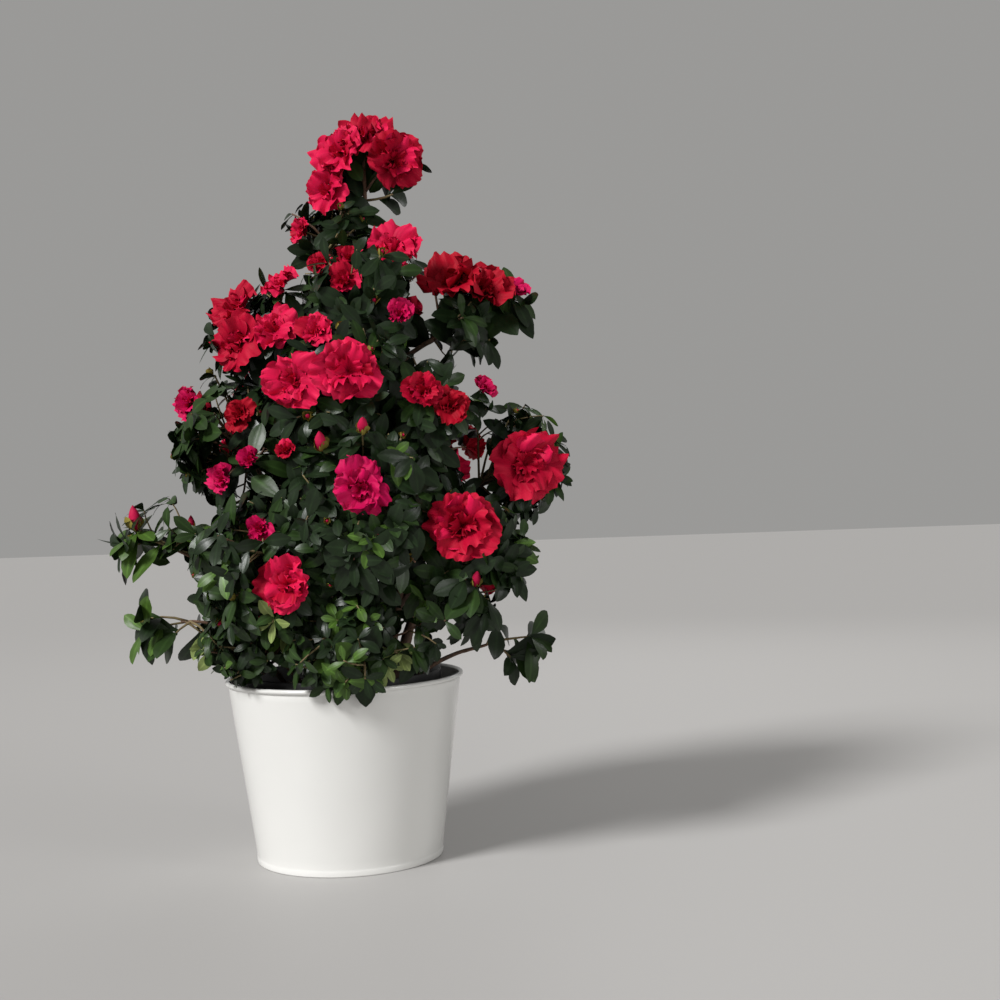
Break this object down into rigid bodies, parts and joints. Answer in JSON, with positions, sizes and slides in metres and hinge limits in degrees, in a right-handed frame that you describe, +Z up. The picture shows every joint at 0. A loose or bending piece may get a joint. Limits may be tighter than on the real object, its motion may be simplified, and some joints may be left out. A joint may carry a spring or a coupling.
{
  "type": "potted azalea",
  "caption": "Evergreen azalea trained to a leafy cone, in red double flower, in a round tapering cream-white planter.",
  "frame": {"origin": "centre of the planter's flat underside", "axes": "+Z up along the planter's axis, -Y towards the side shown in the picture, +X to its right"},
  "size_m": [0.3751, 0.2726, 0.6179],
  "materials": {
    "painted_tin": "glossy cream-white enamel",
    "pot_plastic": "black moulded plastic",
    "compost": "dark moist peaty compost",
    "bark": "thin reddish-brown bark",
    "foliage": "small glossy dark green leaves",
    "blossom": "soft crimson to coral petals"
  },
  "bodies": {
    "root": {"planter": "painted_tin", "inner_pot": "pot_plastic", "compost": "compost", "trunk": "bark", "left_stem": "bark", "right_stem": "bark", "front_stem": "bark", "back_left_stem": "bark", "back_right_stem": "bark", "neck_bough": "bark", "upper_left_bough": "bark", "upper_right_bough": "bark", "upper_front_bough": "bark", "upper_back_bough": "bark", "mid_front_bough": "bark", "mid_right_bough": "bark", "lower_right_bough": "bark", "lower_left_bough": "bark", "back_left_bough": "bark", "back_right_bough": "bark", "left_spray_bough": "bark", "low_left_spray_bough": "bark", "low_right_spray_bough": "bark", "left_skirt_bough": "bark", "front_skirt_bough": "bark", "crown_top": "foliage", "neck": "foliage", "upper_left": "foliage", "upper_right": "foliage", "upper_front": "foliage", "upper_back": "foliage", "mid_front": "foliage", "mid_left": "foliage", "mid_right": "foliage", "centre_front": "foliage", "right_side": "foliage", "lower_right": "foliage", "lower_left": "foliage", "back_left": "foliage", "back_right": "foliage", "low_back_left": "foliage", "low_back_right": "foliage", "left_skirt": "foliage", "left_spray": "foliage", "low_left_spray": "foliage", "low_right_spray": "foliage", "front_skirt": "foliage"}
  },
  "joints": []
}
